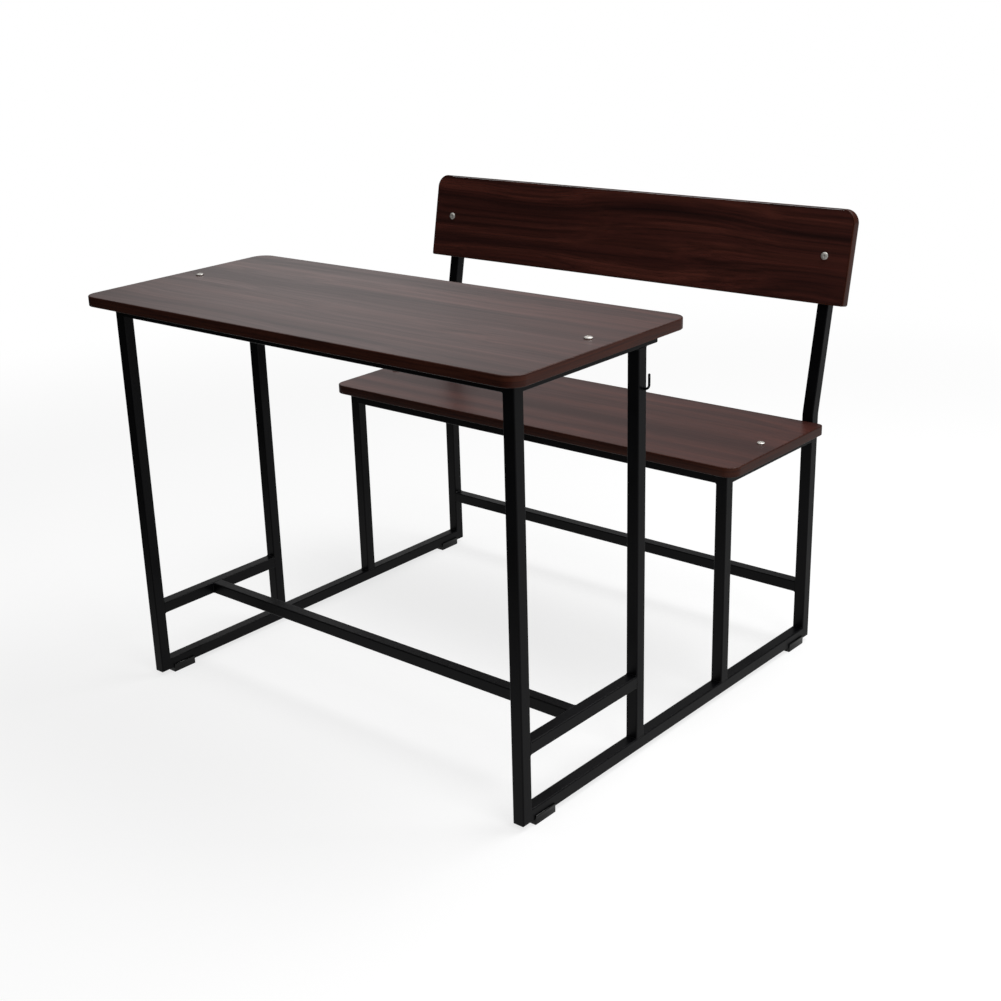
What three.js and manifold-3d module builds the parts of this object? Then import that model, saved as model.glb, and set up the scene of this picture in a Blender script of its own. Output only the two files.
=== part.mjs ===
// Two-seater classroom desk: one welded frame of square tube carries a desktop, a bench seat and a backrest.
// Millimetres, +Z up. +X runs along the desktop, the desk faces -Y and the bench stands on the +Y side.
// The origin is on the floor, under the middle of the whole piece.
import * as THREE from "three";
import { mergeVertices } from "three/addons/utils/BufferGeometryUtils.js";
import Module from "manifold-3d";

const wasm = await Module();
wasm.setup();

// Driving dimensions: square tube
const tube = 22;
const tubeWall = 1.2;
const tubeCorner = 2.2;

// Driving dimensions: the frame
const frameWidth = 914;
const deskFrameDepth = 327;
const legRoom = 244;
const benchFrameDepth = 316;
const railOverrun = 27;
const lowerRailHeight = 127;
const footrestSetback = 142;
const stretcherHeight = 103;

// Driving dimensions: the boards
const deskHeight = 750;
const seatHeight = 450;
const boardThickness = 18;
const desktopSideOverhang = 36;
const desktopFrontOverhang = 42;
const desktopRearOverhang = 64;
const desktopCorner = 28;
const seatSideOverhang = 26;
const seatFrontOverhang = 22;
const seatPostClearance = 2;
const seatFrontCorner = 25;
const seatRearCorner = 12;
const backrestSideOverhang = 38;
const backrestHeight = 172;
const backrestRise = 203;
const backrestTopCorner = 26;
const backrestBottomCorner = 4;
const bandThickness = 2;
const bandArris = 1.5;

// Driving dimensions: the bent rear posts
const bendAboveSeat = 12;
const bendRadius = 45;
const postTopDrop = 16;
const backrestLean = THREE.MathUtils.degToRad(11);

// Driving dimensions: bolts through a board into weld nuts inside the tubes
const desktopBoltSetback = 190;
const seatBoltSetback = 130;
const boltDiameter = 6;
const boltClearance = 0.5;
const boltHeadDiameter = 14;
const boltHeadHeight = 3.2;
const boltHeadRim = 0.8;
const boltStickOut = 2;
const boltTipChamfer = 0.8;
const socketAcrossFlats = 4;
const socketDepth = 2;
const nutAcrossFlats = 10;
const nutHeight = 5;

// Driving dimensions: saddle glides, end plugs and the bag hook
const glideSole = 9;
const glideLength = 50;
const glideLipHeight = 8;
const glideWall = 1.8;
const glideRim = 0.6;
const glideRimHeight = 2;
const glideCorner = 2;
const glideFrontSetback = 28;
const glideRearSetback = 24;
const plugFlange = 2;
const plugInsert = 14;
const hookRod = 4;
const hookReach = 12;
const hookBend = 8;
const hookRise = 26;
const hookDrop = 65;

// Clear gap left at every joint, overrun of every cutting tool, and distance at which two vertices are one
const fitGap = 0.3;
const overrun = 2;
const vertexTolerance = 1e-4;

// Facets
const tubeArcSteps = 2;
const boardArcSteps = 4;
const arrisSteps = 3;
const bendSteps = 4;
const hookBendSteps = 6;
const rodSides = 10;
const holeSides = 20;
const turnedSides = 20;
const domeSteps = 4;

// Levels and planes worked out from the driving dimensions
const runnerTop = glideSole + tube;
const deskRailTop = deskHeight - boardThickness - fitGap;
const deskRailBottom = deskRailTop - tube;
const seatRailTop = seatHeight - boardThickness - fitGap;
const sideCentre = frameWidth / 2 - tube / 2;
const sideInner = frameWidth / 2 - tube;
const rearLegY = deskFrameDepth - tube / 2;
const benchLegY = deskFrameDepth + legRoom + tube / 2;
const postY = deskFrameDepth + legRoom + benchFrameDepth - tube / 2;
const postFront = postY - tube / 2;
const frameRear = postY + tube / 2;
const railRear = deskFrameDepth + railOverrun;
const seatFront = benchLegY - tube / 2 - seatFrontOverhang;
const seatRear = postFront - seatPostClearance;
const seatBoltY = deskFrameDepth + legRoom + seatBoltSetback;
const bendHeight = seatHeight + bendAboveSeat;
const postLength = backrestRise + backrestHeight - postTopDrop;
const plugHeight = fitGap + plugFlange;
const sides = { left: -1, right: 1 };

// Materials
const powderCoat = new THREE.MeshStandardMaterial({ color: 0x17181b, roughness: 0.45, metalness: 0.1 });
const laminate = new THREE.MeshStandardMaterial({ color: 0x3a2420, roughness: 0.38, metalness: 0 });
const edgeBand = new THREE.MeshStandardMaterial({ color: 0x43231c, roughness: 0.42, metalness: 0 });
const zincPlate = new THREE.MeshStandardMaterial({ color: 0xc4c6c8, roughness: 0.3, metalness: 1 });
const blackPlastic = new THREE.MeshStandardMaterial({ color: 0x111112, roughness: 0.6, metalness: 0 });

// Everything stands in this group. Until it is centred at the end, Y = 0 is the front of the desk's legs.
const desk = new THREE.Group();

// The leaning frame of posts and backrest: its Z runs up the posts, its origin is where they bend
const backrest = new THREE.Group();
backrest.position.set(0, postY, bendHeight);
backrest.rotation.x = -backrestLean;
desk.add(backrest);

function addPiece(name, geometry, material, parent = desk) {
  geometry.computeVertexNormals();
  const mesh = new THREE.Mesh(geometry, material);
  mesh.name = name;
  parent.add(mesh);
  return mesh;
}

// A closed geometry as a solid that can be joined and cut
function solidOf(geometry) {
  const bare = geometry.clone();
  bare.deleteAttribute("normal");
  bare.deleteAttribute("uv");
  const merged = mergeVertices(bare, vertexTolerance);
  const vertProperties = merged.attributes.position.array;
  const triVerts = new Uint32Array(merged.index.array);
  return new wasm.Manifold(new wasm.Mesh({ numProp: 3, vertProperties, triVerts }));
}

function geometryOf(solid) {
  const { numProp, vertProperties, triVerts } = solid.getMesh();
  const geometry = new THREE.BufferGeometry();
  geometry.setAttribute("position", new THREE.BufferAttribute(vertProperties, numProp));
  geometry.setIndex(new THREE.BufferAttribute(triVerts, 1));
  return geometry.toNonIndexed();
}

// Takes the tools away from a body
function cut(geometry, ...tools) {
  return geometryOf(tools.reduce((left, tool) => left.subtract(solidOf(tool)), solidOf(geometry)));
}

// Rectangle round the origin whose corners have these radii, lower pair first
function roundedRectangle(width, height, lowerRadius, upperRadius) {
  const right = width / 2;
  const top = height / 2;
  const shape = new THREE.Shape();
  shape.absarc(right - lowerRadius, lowerRadius - top, lowerRadius, -Math.PI / 2, 0, false);
  shape.absarc(right - upperRadius, top - upperRadius, upperRadius, 0, Math.PI / 2, false);
  shape.absarc(upperRadius - right, top - upperRadius, upperRadius, Math.PI / 2, Math.PI, false);
  shape.absarc(lowerRadius - right, lowerRadius - top, lowerRadius, Math.PI, Math.PI * 1.5, false);
  shape.closePath();
  return shape;
}

// Section of the square tube: rounded outside, rounded bore
function tubeSection() {
  const bore = tube - 2 * tubeWall;
  const boreCorner = Math.max(tubeCorner - tubeWall, tubeWall / 2);
  const section = roundedRectangle(tube, tube, tubeCorner, tubeCorner);
  section.holes.push(roundedRectangle(bore, bore, boreCorner, boreCorner));
  return section;
}

// Slants an end of a tube at 45 degrees. The long side of the mitre is the one at +Y or -Y of the section,
// and half the joint's gap is taken off, measured along the tube.
function mitre(geometry, endZ, into, longSide) {
  const position = geometry.attributes.position;
  for (let i = 0; i < position.count; i += 1) {
    if (Math.abs(position.getZ(i) - endZ) < vertexTolerance) {
      const fromLongSide = tube / 2 - longSide * position.getY(i);
      position.setZ(i, endZ + into * (fromLongSide + fitGap * Math.SQRT1_2));
    }
  }
}

// Straight tube along +Z from the origin. An end's mitre is the section side (+1 or -1 on Y) that stays long.
function straightTube(length, startMitre = 0, endMitre = 0) {
  const geometry = new THREE.ExtrudeGeometry(tubeSection(), {
    depth: length,
    bevelEnabled: false,
    curveSegments: tubeArcSteps,
  });
  if (startMitre) mitre(geometry, 0, 1, startMitre);
  if (endMitre) mitre(geometry, length, -1, endMitre);
  return geometry;
}

// Turns a tube that was built along +Z to run along +Y (section +Y then points down) or along +X
function alongY(geometry) {
  return geometry.rotateX(-Math.PI / 2);
}

function alongX(geometry) {
  return geometry.rotateY(Math.PI / 2);
}

// A line through chosen stations, for rods and tubes that are straight between bends
class StationLine extends THREE.Curve {
  constructor(stations) {
    super();
    this.stations = stations;
  }

  getPoint(t, target = new THREE.Vector3()) {
    const place = t * (this.stations.length - 1);
    const from = Math.min(Math.floor(place), this.stations.length - 2);
    return target.lerpVectors(this.stations[from], this.stations[from + 1], place - from);
  }

  getUtoTmapping(u) {
    return u;
  }
}

function sweep(section, stations, arcSteps) {
  return new THREE.ExtrudeGeometry(section, {
    steps: stations.length - 1,
    extrudePath: new StationLine(stations),
    curveSegments: arcSteps,
  });
}

// Cylinder along Z between two levels, to cut a hole that clears a bolt
function drill(from, to) {
  const radius = boltDiameter / 2 + boltClearance;
  const bit = new THREE.CylinderGeometry(radius, radius, to - from, holeSides);
  return bit.rotateX(Math.PI / 2).translate(0, 0, (from + to) / 2);
}

// Floor runner: one tube per side, mitred into the front leg and the rear post
function addRunner(side, x) {
  const runner = addPiece(`floor_runner_${side}`, alongY(straightTube(frameRear, 1, 1)), powderCoat);
  runner.position.set(x, 0, glideSole + tube / 2);
}

// Front leg of the desk, mitred at the runner and at the top rail
function addDeskFrontLeg(side, x) {
  const leg = addPiece(
    `desk_front_leg_${side}`,
    straightTube(deskRailTop - glideSole, -1, -1),
    powderCoat,
  );
  leg.position.set(x, tube / 2, glideSole);
}

// Rear leg of the desk, between the runner and the underside of the top rail
function addDeskRearLeg(side, x) {
  const from = runnerTop + fitGap;
  const leg = addPiece(
    `desk_rear_leg_${side}`,
    straightTube(deskRailBottom - fitGap - from),
    powderCoat,
  );
  leg.position.set(x, rearLegY, from);
}

// Top side rail: mitred into the front leg, runs past the rear leg, its top wall drilled for the desktop bolt
function addDeskTopRail(side, x) {
  const rail = alongY(straightTube(railRear, -1, 0));
  const hole = drill(tube / 2 - tubeWall - overrun, tube / 2 + overrun);
  hole.translate(0, desktopBoltSetback, 0);
  const mesh = addPiece(`desk_top_rail_${side}`, cut(rail, hole), powderCoat);
  mesh.position.set(x, 0, deskRailTop - tube / 2);
}

// Lower side rail between the two legs of the desk
function addDeskLowerRail(side, x) {
  const from = tube + fitGap;
  const to = rearLegY - tube / 2 - fitGap;
  const rail = addPiece(`desk_lower_rail_${side}`, alongY(straightTube(to - from)), powderCoat);
  rail.position.set(x, from, lowerRailHeight + tube / 2);
}

// Front leg of the bench: stands on the runner, mitred into the seat rail
function addBenchFrontLeg(side, x) {
  const from = runnerTop + fitGap;
  const leg = addPiece(
    `bench_front_leg_${side}`,
    straightTube(seatRailTop - from, 0, -1),
    powderCoat,
  );
  leg.position.set(x, benchLegY, from);
}

// Seat side rail: mitred into the bench front leg, butted on the post, its top wall drilled for the seat bolt
function addSeatSideRail(side, x) {
  const from = benchLegY - tube / 2;
  const rail = alongY(straightTube(postFront - fitGap - from, -1, 0));
  const hole = drill(tube / 2 - tubeWall - overrun, tube / 2 + overrun);
  hole.translate(0, seatBoltY - from, 0);
  const mesh = addPiece(`seat_side_rail_${side}`, cut(rail, hole), powderCoat);
  mesh.position.set(x, from, seatRailTop - tube / 2);
}

// Centre line of a rear post: up from the runner, round the bend, then up the lean
function postStations() {
  const tangent = bendRadius * Math.tan(backrestLean / 2);
  const stations = [new THREE.Vector3(0, 0, glideSole)];
  for (let i = 0; i <= bendSteps; i += 1) {
    const turned = (backrestLean * i) / bendSteps;
    const y = bendRadius * (1 - Math.cos(turned));
    const z = bendHeight - tangent + bendRadius * Math.sin(turned);
    stations.push(new THREE.Vector3(0, y, z));
  }
  const topY = postLength * Math.sin(backrestLean);
  const topZ = bendHeight + postLength * Math.cos(backrestLean);
  stations.push(new THREE.Vector3(0, topY, topZ));
  return stations;
}

// Rear post: one bent tube, mitred at the runner, its front wall drilled square to the lean for the bolt
function addRearPost(side, x) {
  const post = sweep(tubeSection(), postStations(), tubeArcSteps);
  mitre(post, glideSole, 1, 1);
  const hole = drill(tube / 2 - tubeWall - overrun, tube / 2 + overrun);
  hole.rotateX(Math.PI / 2).translate(0, 0, backrestRise + backrestHeight / 2);
  hole.rotateX(-backrestLean).translate(0, 0, bendHeight);
  const mesh = addPiece(`bench_rear_post_${side}`, cut(post, hole), powderCoat);
  mesh.position.set(x, postY, 0);
}

for (const [side, sign] of Object.entries(sides)) {
  const x = sign * sideCentre;
  addRunner(side, x);
  addDeskFrontLeg(side, x);
  addDeskRearLeg(side, x);
  addDeskTopRail(side, x);
  addDeskLowerRail(side, x);
  addBenchFrontLeg(side, x);
  addSeatSideRail(side, x);
  addRearPost(side, x);
}

// Cross tubes between the inner faces of the side frames, each by the Y and Z of its centre line
const crossTubes = {
  desk_front_rail: [tube / 2, deskRailTop - tube / 2],
  desk_rear_rail: [rearLegY, deskRailTop - tube / 2],
  footrest_bar: [footrestSetback + tube / 2, lowerRailHeight + tube / 2],
  seat_front_rail: [benchLegY, seatRailTop - tube / 2],
  seat_rear_rail: [postFront - tube / 2, seatRailTop - tube / 2],
  bench_stretcher: [postY, stretcherHeight + tube / 2],
};
for (const [name, [y, z]] of Object.entries(crossTubes)) {
  const from = fitGap - sideInner;
  const mesh = addPiece(name, alongX(straightTube(-2 * from)), powderCoat);
  mesh.position.set(from, y, z);
}

// A board lies in XY with its underside on Z = 0: a core, and round it a band with softened arrises.
// Its two bolt holes are at these places.
function boardPieces(width, depth, frontRadius, rearRadius, bolts) {
  const inset = (by) =>
    roundedRectangle(
      width - 2 * by,
      depth - 2 * by,
      Math.max(frontRadius - by, fitGap),
      Math.max(rearRadius - by, fitGap),
    );
  const flat = { bevelEnabled: false, curveSegments: boardArcSteps };
  const core = new THREE.ExtrudeGeometry(inset(bandThickness + fitGap), {
    ...flat,
    depth: boardThickness,
  });
  const pocket = new THREE.ExtrudeGeometry(inset(bandThickness), {
    ...flat,
    depth: boardThickness + 2 * overrun,
  });
  pocket.translate(0, 0, -overrun);
  const whole = new THREE.ExtrudeGeometry(inset(0), {
    depth: boardThickness - 2 * bandArris,
    bevelThickness: bandArris,
    bevelSize: bandArris,
    bevelOffset: -bandArris,
    bevelSegments: arrisSteps,
    curveSegments: boardArcSteps,
  });
  whole.translate(0, 0, bandArris);
  const holes = bolts.map(([x, y]) =>
    drill(-overrun, boardThickness + overrun).translate(x, y, 0),
  );
  return { core: cut(core, ...holes), band: cut(whole, pocket) };
}

// Dome-head bolt along -Z: the underside of its head is at Z = 0
function boltGeometry(grip) {
  const reach = grip + nutHeight + boltStickOut + 2 * fitGap;
  const profile = [new THREE.Vector2(0, -reach)];
  profile.push(new THREE.Vector2(boltDiameter / 2 - boltTipChamfer, -reach));
  profile.push(new THREE.Vector2(boltDiameter / 2, boltTipChamfer - reach));
  profile.push(new THREE.Vector2(boltDiameter / 2, 0));
  profile.push(new THREE.Vector2(boltHeadDiameter / 2, 0));
  for (let i = 0; i <= domeSteps; i += 1) {
    const angle = ((Math.PI / 2) * i) / domeSteps;
    const radius = i === domeSteps ? 0 : (boltHeadDiameter / 2) * Math.cos(angle);
    const rise = boltHeadRim + (boltHeadHeight - boltHeadRim) * Math.sin(angle);
    profile.push(new THREE.Vector2(radius, rise));
  }
  const body = new THREE.LatheGeometry(profile, turnedSides).rotateX(Math.PI / 2);
  const socketRadius = socketAcrossFlats / Math.sqrt(3);
  const socketLength = socketDepth + overrun;
  const socket = new THREE.CylinderGeometry(socketRadius, socketRadius, socketLength, 6);
  socket.rotateX(Math.PI / 2).translate(0, 0, boltHeadHeight - socketDepth + socketLength / 2);
  return cut(body, socket);
}

// Hexagon weld nut with a bore that clears the bolt, from Z = 0 up
function nutGeometry() {
  const corner = nutAcrossFlats / Math.sqrt(3);
  const points = Array.from({ length: 6 }, (_, i) => {
    const angle = (i * Math.PI) / 3;
    return new THREE.Vector2(corner * Math.cos(angle), corner * Math.sin(angle));
  });
  const bore = new THREE.Path();
  bore.absarc(0, 0, boltDiameter / 2 + fitGap, 0, Math.PI * 2, true);
  const outline = new THREE.Shape(points);
  outline.holes.push(bore);
  return new THREE.ExtrudeGeometry(outline, {
    depth: nutHeight,
    bevelEnabled: false,
    curveSegments: turnedSides / 2,
  });
}

// Bolt through a board and one wall of the tube, into a nut that is welded inside the tube.
// The board's face is at the group's Z = 0.
function addFastener(name, parent, place, turn) {
  const grip = boardThickness + fitGap + tubeWall;
  const group = new THREE.Group();
  group.position.copy(place);
  group.rotation.x = turn;
  parent.add(group);
  const bolt = addPiece(`${name}_bolt`, boltGeometry(grip), zincPlate, group);
  bolt.position.z = fitGap;
  const nut = addPiece(`${name}_nut`, nutGeometry(), zincPlate, group);
  nut.position.z = -grip - fitGap - nutHeight;
}

// Desktop
const desktopDepth = desktopFrontOverhang + deskFrameDepth + desktopRearOverhang;
const desktopY = desktopDepth / 2 - desktopFrontOverhang;
const desktop = boardPieces(
  frameWidth + 2 * desktopSideOverhang,
  desktopDepth,
  desktopCorner,
  desktopCorner,
  Object.values(sides).map((sign) => [sign * sideCentre, desktopBoltSetback - desktopY]),
);
const desktopCore = addPiece("desktop_board", desktop.core, laminate);
const desktopBand = addPiece("desktop_edge_band", desktop.band, edgeBand);
for (const mesh of [desktopCore, desktopBand]) {
  mesh.position.set(0, desktopY, deskHeight - boardThickness);
}

// Seat: its rear edge stops just short of the posts
const seatY = (seatFront + seatRear) / 2;
const seat = boardPieces(
  frameWidth + 2 * seatSideOverhang,
  seatRear - seatFront,
  seatFrontCorner,
  seatRearCorner,
  Object.values(sides).map((sign) => [sign * sideCentre, seatBoltY - seatY]),
);
const seatCore = addPiece("seat_board", seat.core, laminate);
const seatBand = addPiece("seat_edge_band", seat.band, edgeBand);
for (const mesh of [seatCore, seatBand]) {
  mesh.position.set(0, seatY, seatHeight - boardThickness);
}

// Backrest: stands up the posts' front faces
const backrestPieces = boardPieces(
  frameWidth + 2 * backrestSideOverhang,
  backrestHeight,
  backrestBottomCorner,
  backrestTopCorner,
  Object.values(sides).map((sign) => [sign * sideCentre, 0]),
);
const backrestCore = addPiece("backrest_board", backrestPieces.core, laminate, backrest);
const backrestBand = addPiece("backrest_edge_band", backrestPieces.band, edgeBand, backrest);
for (const mesh of [backrestCore, backrestBand]) {
  mesh.rotation.x = Math.PI / 2;
  mesh.position.set(0, -tube / 2 - fitGap, backrestRise + backrestHeight / 2);
}

for (const [side, sign] of Object.entries(sides)) {
  const x = sign * sideCentre;
  const onDesktop = new THREE.Vector3(x, desktopBoltSetback, deskHeight);
  const onSeat = new THREE.Vector3(x, seatBoltY, seatHeight);
  const boardFace = -tube / 2 - fitGap - boardThickness;
  const onBackrest = new THREE.Vector3(x, boardFace, backrestRise + backrestHeight / 2);
  addFastener(`desktop_${side}`, desk, onDesktop, 0);
  addFastener(`seat_${side}`, desk, onSeat, 0);
  addFastener(`backrest_${side}`, backrest, onBackrest, Math.PI / 2);
}

// Saddle glide: a U section that clips over the underside of a runner, with a thicker rim along each lip
function glideGeometry() {
  const channel = tube / 2 + fitGap;
  const outer = channel + glideWall;
  const lipTop = glideSole + glideLipHeight;
  const floorTop = glideSole - fitGap;
  const section = new THREE.Shape();
  section.moveTo(glideCorner - outer, 0);
  section.lineTo(outer - glideCorner, 0);
  section.absarc(outer - glideCorner, glideCorner, glideCorner, -Math.PI / 2, 0, false);
  section.lineTo(outer, lipTop - 2 * glideRimHeight);
  section.lineTo(outer + glideRim, lipTop - glideRimHeight);
  section.lineTo(outer, lipTop);
  section.lineTo(channel, lipTop);
  section.lineTo(channel, floorTop);
  section.lineTo(-channel, floorTop);
  section.lineTo(-channel, lipTop);
  section.lineTo(-outer, lipTop);
  section.lineTo(-outer - glideRim, lipTop - glideRimHeight);
  section.lineTo(-outer, lipTop - 2 * glideRimHeight);
  section.lineTo(-outer, glideCorner);
  section.absarc(glideCorner - outer, glideCorner, glideCorner, Math.PI, Math.PI * 1.5, false);
  const body = new THREE.ExtrudeGeometry(section, {
    depth: glideLength,
    bevelEnabled: false,
    curveSegments: tubeArcSteps,
  });
  return body.rotateX(Math.PI / 2).translate(0, glideLength, 0);
}

const glidePlaces = {
  front: glideFrontSetback,
  rear: frameRear - glideRearSetback - glideLength,
};
for (const [side, sign] of Object.entries(sides)) {
  for (const [end, y] of Object.entries(glidePlaces)) {
    const glide = addPiece(`glide_${side}_${end}`, glideGeometry(), blackPlastic);
    glide.position.set(sign * sideCentre, y, 0);
  }
}

// End plug: a flange as large as the tube on a plain insert, standing on a tube end at Z = 0
function plugGeometry() {
  const insertSide = tube - 2 * tubeWall - 2 * fitGap;
  const insertCorner = Math.max(tubeCorner - tubeWall, tubeWall / 2);
  const extrude = (side, corner, depth) =>
    new THREE.ExtrudeGeometry(roundedRectangle(side, side, corner, corner), {
      depth,
      bevelEnabled: false,
      curveSegments: tubeArcSteps,
    });
  const flange = extrude(tube, tubeCorner, plugFlange).translate(0, 0, fitGap);
  const insert = extrude(insertSide, insertCorner, plugInsert + plugHeight / 2);
  insert.translate(0, 0, -plugInsert);
  return geometryOf(solidOf(flange).add(solidOf(insert)));
}

for (const [side, sign] of Object.entries(sides)) {
  const railPlug = addPiece(`rail_plug_${side}`, alongY(plugGeometry()), blackPlastic);
  railPlug.position.set(sign * sideCentre, railRear, deskRailTop - tube / 2);
  const postPlug = addPiece(`post_plug_${side}`, plugGeometry(), blackPlastic, backrest);
  postPlug.position.set(sign * sideCentre, 0, postLength);
}

// Bag hook: a rod that leaves the outer face of the right-hand rear desk leg and turns up
const hookStations = [new THREE.Vector3(fitGap, 0, 0)];
for (let i = 0; i <= hookBendSteps; i += 1) {
  const turned = ((Math.PI / 2) * i) / hookBendSteps;
  const x = hookReach - hookBend * (1 - Math.sin(turned));
  hookStations.push(new THREE.Vector3(x, 0, hookBend * (1 - Math.cos(turned))));
}
hookStations.push(new THREE.Vector3(hookReach, 0, hookRise));
const rodSection = new THREE.Shape(
  Array.from({ length: rodSides }, (_, i) => {
    const angle = (i * 2 * Math.PI) / rodSides;
    return new THREE.Vector2((hookRod / 2) * Math.cos(angle), (hookRod / 2) * Math.sin(angle));
  }),
);
const hook = addPiece("bag_hook", sweep(rodSection, hookStations, 1), powderCoat);
hook.position.set(frameWidth / 2, rearLegY, deskRailBottom - hookDrop);

// The origin goes under the middle of the whole piece
const extent = new THREE.Box3().setFromObject(desk, true);
desk.position.y = -(extent.min.y + extent.max.y) / 2;

export default desk;
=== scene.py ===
# Two-seater classroom desk: a welded frame of black square tube under brown laminated boards.
# Metres, +Z up. +X runs along the desktop, the desk faces -Y and the bench stands on the +Y side.
import math

import bpy
import numpy as np
from mathutils import Matrix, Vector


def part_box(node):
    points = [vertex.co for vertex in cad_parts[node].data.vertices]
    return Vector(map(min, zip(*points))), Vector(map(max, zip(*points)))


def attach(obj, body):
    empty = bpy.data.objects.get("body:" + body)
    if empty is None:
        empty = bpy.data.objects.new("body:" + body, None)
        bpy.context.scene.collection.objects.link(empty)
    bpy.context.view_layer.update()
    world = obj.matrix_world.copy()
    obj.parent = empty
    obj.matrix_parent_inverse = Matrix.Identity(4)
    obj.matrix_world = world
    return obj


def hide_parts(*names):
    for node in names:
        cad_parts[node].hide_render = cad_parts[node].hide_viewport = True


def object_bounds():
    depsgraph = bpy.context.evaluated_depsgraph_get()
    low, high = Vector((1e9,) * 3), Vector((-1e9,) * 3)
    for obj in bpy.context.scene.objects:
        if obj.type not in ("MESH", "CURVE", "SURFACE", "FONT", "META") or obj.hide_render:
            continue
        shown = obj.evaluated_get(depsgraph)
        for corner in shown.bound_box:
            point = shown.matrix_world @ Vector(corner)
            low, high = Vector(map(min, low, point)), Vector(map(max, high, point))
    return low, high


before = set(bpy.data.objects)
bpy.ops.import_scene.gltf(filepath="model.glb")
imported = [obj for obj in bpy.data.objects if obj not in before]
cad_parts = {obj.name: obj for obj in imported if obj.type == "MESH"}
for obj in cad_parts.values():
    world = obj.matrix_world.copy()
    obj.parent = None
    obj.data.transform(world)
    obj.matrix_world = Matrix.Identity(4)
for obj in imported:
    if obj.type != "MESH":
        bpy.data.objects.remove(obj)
cad_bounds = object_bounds()

# Frame tubes
# Cold-rolled steel tube, 22 mm square with a 1.2 mm wall, cut square or at 45 degrees and welded into two
# side frames with six tubes across. The frame is powder coated black after welding.
MM = 0.001
SIDES = {"left": -1, "right": 1}


def box_of(node):
    """Lowest and highest corner of a node's box."""
    return [np.array(corner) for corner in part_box(node)]


def middle(node):
    """Centre of a node's box."""
    low, high = box_of(node)
    return (low + high) / 2


bar_low, bar_high = box_of("footrest_bar")
half_tube = (bar_high[2] - bar_low[2]) / 2
tube_wall = 1.2 * MM
tube_corner = 2.2 * MM
weld_gap = 0.3 * MM
mitre_gap = weld_gap / math.sqrt(2)
side_x = middle("floor_runner_right")[0]

# The rear posts lean back above a bend just over the seat
lean = math.radians(11)
bend_radius = 45 * MM
bend_over_seat = 12 * MM
bend_y = middle("bench_stretcher")[1]
bend_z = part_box("seat_board")[1].z + bend_over_seat
post_length = 359 * MM

# Colours of the coat: deep black, and the greyer black of its thin places
COAT_BLACK = 0x060607
COAT_THIN = 0x0D0D10


def linear(hex_colour):
    """An sRGB colour as linear red, green, blue and alpha. A channel c becomes ((c + 0.055) / 1.055) **
    2.4, or c / 12.92 where it is 0.04045 or less."""
    channels = [((hex_colour >> shift) & 255) / 255 for shift in (16, 8, 0)]
    return [c / 12.92 if c <= 0.04045 else ((c + 0.055) / 1.055) ** 2.4 for c in channels] + [1.0]


def add(tree, kind, inputs=None, **settings):
    """Adds a node. settings are its attributes, and inputs maps an input's name or number to a value or to
    the socket that feeds it. By number, a Mix has its share at 0 and what it mixes at 2 and 3, or at 6 and
    7 for colours. A Map Range has its value at 0 and takes the range from 1 to 2 to the one from 3 to 4,
    where an end that isn't given is 0 or 1."""
    made = tree.nodes.new(kind)
    for name, value in settings.items():
        setattr(made, name, value)
    for key, value in (inputs or {}).items():
        if isinstance(value, bpy.types.NodeSocket):
            tree.links.new(value, made.inputs[key])
        else:
            made.inputs[key].default_value = value
    return made


def new_material(name):
    """An empty node material, its tree and its Principled shader."""
    material = bpy.data.materials.new(name)
    material.use_nodes = True
    tree = material.node_tree
    return material, tree, tree.nodes["Principled BSDF"]


def powder_coat():
    """Polyester powder, sprayed and baked: satin black with the shallow waves called orange peel. Real
    waves are 1 to 2 mm long; they are drawn 3 mm long so that they still show from a step away. In wide
    patches the coat is thinner, which makes it a little greyer and rougher."""
    peel_length = 3 * MM
    peel_depth = 0.25 * MM
    patch_length = 60 * MM
    smooth, rough = 0.32, 0.42
    material, tree, shader = new_material("powder_coat_satin_black")
    place = add(tree, "ShaderNodeTexCoord").outputs["Object"]
    patches = add(tree, "ShaderNodeTexNoise", {"Vector": place, "Scale": 1 / patch_length, "Detail": 4.0})
    coats = {0: patches.outputs["Fac"], 6: linear(COAT_BLACK), 7: linear(COAT_THIN)}
    colour = add(tree, "ShaderNodeMix", coats, data_type="RGBA")
    gloss = add(tree, "ShaderNodeMapRange", {0: patches.outputs["Fac"], 1: 0.3, 2: 0.7, 3: smooth, 4: rough})
    peel = add(tree, "ShaderNodeTexNoise", {"Vector": place, "Scale": 1 / peel_length, "Detail": 1.0})
    relief = {"Height": peel.outputs["Fac"], "Strength": 0.25, "Distance": peel_depth}
    waves = add(tree, "ShaderNodeBump", relief)
    tree.links.new(colour.outputs[2], shader.inputs["Base Color"])
    tree.links.new(gloss.outputs[0], shader.inputs["Roughness"])
    tree.links.new(waves.outputs["Normal"], shader.inputs["Normal"])
    shader.inputs["Specular IOR Level"].default_value = 0.15
    return material


def rounded_loop(half_a, half_b, corner, steps=8, flat=0.3 * MM):
    """Rounded rectangle as points (a, b): a quarter circle in each corner, and one point on the flat
    just before and after it, so that the flats shade flat."""
    turn = np.linspace(0, math.pi / 2, steps + 1)
    arc = corner * np.stack([np.cos(turn), np.sin(turn)], 1)
    arc = np.vstack([arc[0] - [0, flat], arc, arc[-1] - [flat, 0]])
    quarters = []
    for quarter, (a, b) in enumerate(((1, 1), (-1, 1), (-1, -1), (1, -1))):
        cosine, sine = math.cos(quarter * math.pi / 2), math.sin(quarter * math.pi / 2)
        turned = arc @ np.array([[cosine, sine], [-sine, cosine]])
        quarters.append(turned + [a * (half_a - corner), b * (half_b - corner)])
    return np.vstack(quarters)


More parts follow.
